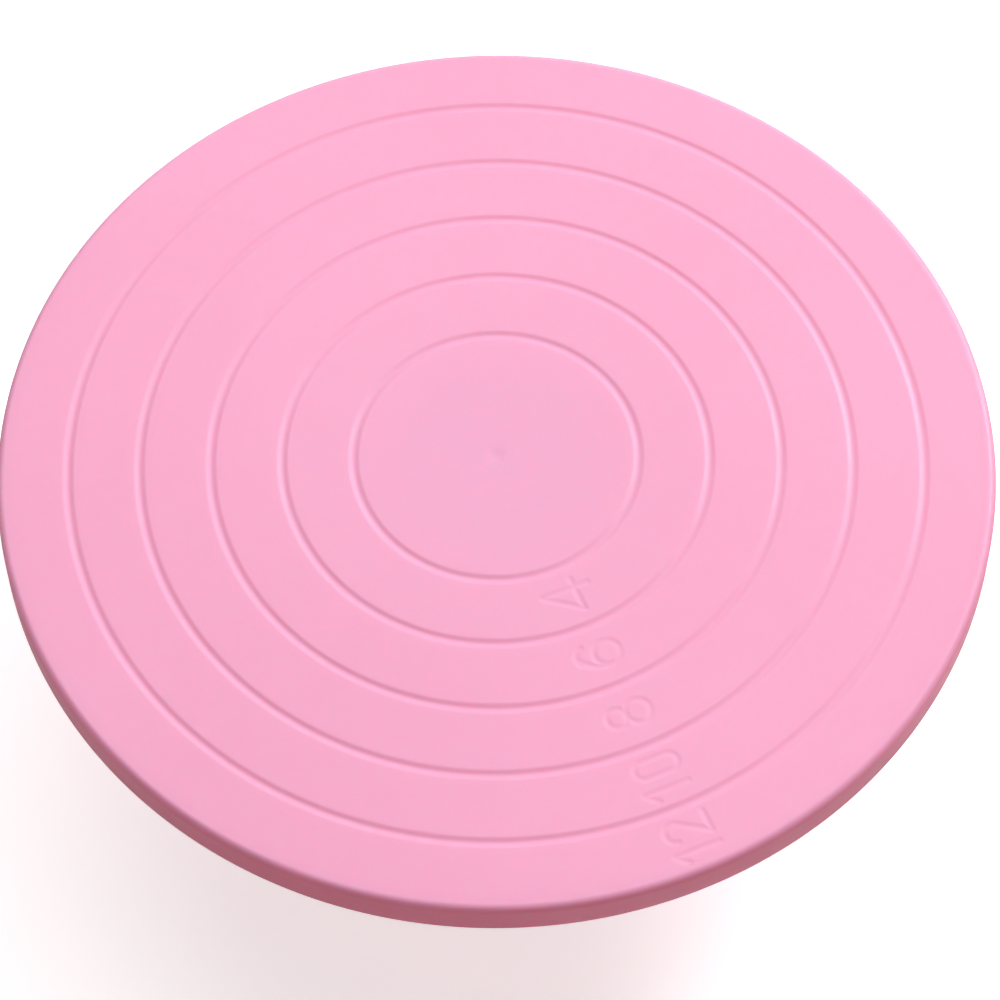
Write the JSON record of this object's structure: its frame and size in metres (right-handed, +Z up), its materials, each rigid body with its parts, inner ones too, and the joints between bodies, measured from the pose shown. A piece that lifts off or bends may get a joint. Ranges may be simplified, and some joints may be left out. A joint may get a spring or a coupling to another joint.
{
  "type": "cake turntable",
  "caption": "Small round cake-decorating turntable: plastic plate with engraved diameter rings on a flared pedestal, turning on a ball thrust bearing.",
  "frame": {"origin": "on the table plane, on the spindle axis", "axes": "+Z up along the spindle; the diameter numerals run out from the centre at 67 degrees from +X towards -Y"},
  "size_m": [0.14, 0.14, 0.05],
  "materials": {
    "plate_plastic": "satin pink polypropylene",
    "base_plastic": "satin pink polypropylene",
    "bearing_steel": "rolled and ground",
    "ball_steel": "polished",
    "natural_nylon": "moulded, unpainted",
    "zinc_steel": "bright zinc plate",
    "foot_rubber": "matt moulded"
  },
  "bodies": {
    "base": {"pedestal_base": "base_plastic", "lower_race": "bearing_steel", "spindle_bush": "natural_nylon", "rubber_foot_1": "foot_rubber", "rubber_foot_2": "foot_rubber", "rubber_foot_3": "foot_rubber", "rubber_foot_4": "foot_rubber"},
    "turntable": {"turntable_plate": "plate_plastic", "upper_race": "bearing_steel", "retaining_washer": "zinc_steel", "lock_washer": "zinc_steel", "spindle_screw": "zinc_steel"},
    "ball_cage": {"ball_cage": "natural_nylon"},
    "ball_01": {"ball_01": "ball_steel"},
    "ball_02": {"ball_02": "ball_steel"},
    "ball_03": {"ball_03": "ball_steel"},
    "ball_04": {"ball_04": "ball_steel"},
    "ball_05": {"ball_05": "ball_steel"},
    "ball_06": {"ball_06": "ball_steel"},
    "ball_07": {"ball_07": "ball_steel"},
    "ball_08": {"ball_08": "ball_steel"},
    "ball_09": {"ball_09": "ball_steel"},
    "ball_10": {"ball_10": "ball_steel"},
    "ball_11": {"ball_11": "ball_steel"},
    "ball_12": {"ball_12": "ball_steel"}
  },
  "joints": [
    {"name": "plate_spin", "type": "hinge", "parent": "base", "child": "turntable", "pos_m": [0, 0, 0.0437], "axis": [0, 0, 1], "continuous": true},
    {"name": "cage_spin", "type": "hinge", "parent": "base", "child": "ball_cage", "pos_m": [0, 0, 0.0437], "axis": [0, 0, 1], "continuous": true},
    {"name": "ball_01_roll", "type": "hinge", "parent": "ball_cage", "child": "ball_01", "pos_m": [0.02, 0, 0.0437], "axis": [1, 0, 0], "continuous": true},
    {"name": "ball_02_roll", "type": "hinge", "parent": "ball_cage", "child": "ball_02", "pos_m": [0.01732, 0.01, 0.0437], "axis": [0.866, 0.5, 0], "continuous": true},
    {"name": "ball_03_roll", "type": "hinge", "parent": "ball_cage", "child": "ball_03", "pos_m": [0.01, 0.01732, 0.0437], "axis": [0.5, 0.866, 0], "continuous": true},
    {"name": "ball_04_roll", "type": "hinge", "parent": "ball_cage", "child": "ball_04", "pos_m": [0, 0.02, 0.0437], "axis": [0, 1, 0], "continuous": true},
    {"name": "ball_05_roll", "type": "hinge", "parent": "ball_cage", "child": "ball_05", "pos_m": [-0.01, 0.01732, 0.0437], "axis": [-0.5, 0.866, 0], "continuous": true},
    {"name": "ball_06_roll", "type": "hinge", "parent": "ball_cage", "child": "ball_06", "pos_m": [-0.01732, 0.01, 0.0437], "axis": [-0.866, 0.5, 0], "continuous": true},
    {"name": "ball_07_roll", "type": "hinge", "parent": "ball_cage", "child": "ball_07", "pos_m": [-0.02, 0, 0.0437], "axis": [-1, 0, 0], "continuous": true},
    {"name": "ball_08_roll", "type": "hinge", "parent": "ball_cage", "child": "ball_08", "pos_m": [-0.01732, -0.01, 0.0437], "axis": [-0.866, -0.5, 0], "continuous": true},
    {"name": "ball_09_roll", "type": "hinge", "parent": "ball_cage", "child": "ball_09", "pos_m": [-0.01, -0.01732, 0.0437], "axis": [-0.5, -0.866, 0], "continuous": true},
    {"name": "ball_10_roll", "type": "hinge", "parent": "ball_cage", "child": "ball_10", "pos_m": [0, -0.02, 0.0437], "axis": [0, -1, 0], "continuous": true},
    {"name": "ball_11_roll", "type": "hinge", "parent": "ball_cage", "child": "ball_11", "pos_m": [0.01, -0.01732, 0.0437], "axis": [0.5, -0.866, 0], "continuous": true},
    {"name": "ball_12_roll", "type": "hinge", "parent": "ball_cage", "child": "ball_12", "pos_m": [0.01732, -0.01, 0.0437], "axis": [0.866, -0.5, 0], "continuous": true}
  ],
  "couplings": [
    {"joint": "cage_spin", "follows": "plate_spin", "ratio": 0.5},
    {"joint": "ball_01_roll", "follows": "plate_spin", "ratio": -5},
    {"joint": "ball_02_roll", "follows": "plate_spin", "ratio": -5},
    {"joint": "ball_03_roll", "follows": "plate_spin", "ratio": -5},
    {"joint": "ball_04_roll", "follows": "plate_spin", "ratio": -5},
    {"joint": "ball_05_roll", "follows": "plate_spin", "ratio": -5},
    {"joint": "ball_06_roll", "follows": "plate_spin", "ratio": -5},
    {"joint": "ball_07_roll", "follows": "plate_spin", "ratio": -5},
    {"joint": "ball_08_roll", "follows": "plate_spin", "ratio": -5},
    {"joint": "ball_09_roll", "follows": "plate_spin", "ratio": -5},
    {"joint": "ball_10_roll", "follows": "plate_spin", "ratio": -5},
    {"joint": "ball_11_roll", "follows": "plate_spin", "ratio": -5},
    {"joint": "ball_12_roll", "follows": "plate_spin", "ratio": -5}
  ]
}
